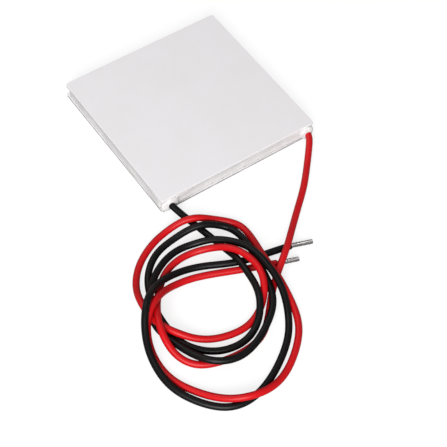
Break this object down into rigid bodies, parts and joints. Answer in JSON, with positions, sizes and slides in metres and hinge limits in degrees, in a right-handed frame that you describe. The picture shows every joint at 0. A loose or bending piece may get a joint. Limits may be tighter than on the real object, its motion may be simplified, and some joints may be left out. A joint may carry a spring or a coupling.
{
  "type": "thermoelectric cooling module",
  "caption": "Square thermoelectric cooler: two ceramic plates sealed round the edge with silicone, and a red and a black lead that lie in loose loops with tinned ends.",
  "frame": {"origin": "middle of the hot (lower) face, which lies on the surface", "axes": "+Z from the hot face to the cold face, -Y towards the edge that the leads leave; black lead at -X, red lead at +X"},
  "size_m": [0.0628, 0.0887, 0.0074],
  "materials": {
    "ceramic": "fired alumina, smooth and nearly matte, with rubbed edges",
    "silicone": "white silicone sealant, matte and slightly uneven",
    "black_insulation": "soft satin lead insulation",
    "red_insulation": "soft satin lead insulation",
    "tinned_wire": "twisted strands under a thin coat of solder",
    "solder": "satin solder",
    "copper": "plain copper tabs",
    "p_alloy": "sawn bismuth telluride, P type",
    "n_alloy": "sawn bismuth telluride, N type"
  },
  "bodies": {
    "root": {"cold_plate": "ceramic", "hot_plate": "ceramic", "edge_seal": "silicone", "black_bead": "silicone", "red_bead": "silicone", "black_lead": "black_insulation", "red_lead": "red_insulation", "black_tip_end": "tinned_wire", "red_tip_end": "tinned_wire", "black_bare_end": "tinned_wire", "red_bare_end": "tinned_wire", "black_joint": "solder", "red_joint": "solder", "cold_turn_tabs_rear": "copper", "cold_turn_tabs_front": "copper", "hot_solder": "solder", "cold_solder": "solder", "p_pellets_0": "p_alloy", "n_pellets_0": "n_alloy", "hot_tabs_0": "copper", "cold_tabs_0": "copper", "p_pellets_1": "p_alloy", "n_pellets_1": "n_alloy", "hot_tabs_1": "copper", "cold_tabs_1": "copper", "p_pellets_2": "p_alloy", "n_pellets_2": "n_alloy", "hot_tabs_2": "copper", "cold_tabs_2": "copper", "p_pellets_3": "p_alloy", "n_pellets_3": "n_alloy", "hot_tabs_3": "copper", "cold_tabs_3": "copper", "p_pellets_4": "p_alloy", "n_pellets_4": "n_alloy", "hot_tabs_4": "copper", "cold_tabs_4": "copper", "p_pellets_5": "p_alloy", "n_pellets_5": "n_alloy", "hot_tabs_5": "copper", "cold_tabs_5": "copper", "p_pellets_6": "p_alloy", "n_pellets_6": "n_alloy", "hot_tabs_6": "copper", "cold_tabs_6": "copper", "p_pellets_7": "p_alloy", "n_pellets_7": "n_alloy", "hot_tabs_7": "copper", "cold_tabs_7": "copper"}
  },
  "joints": []
}
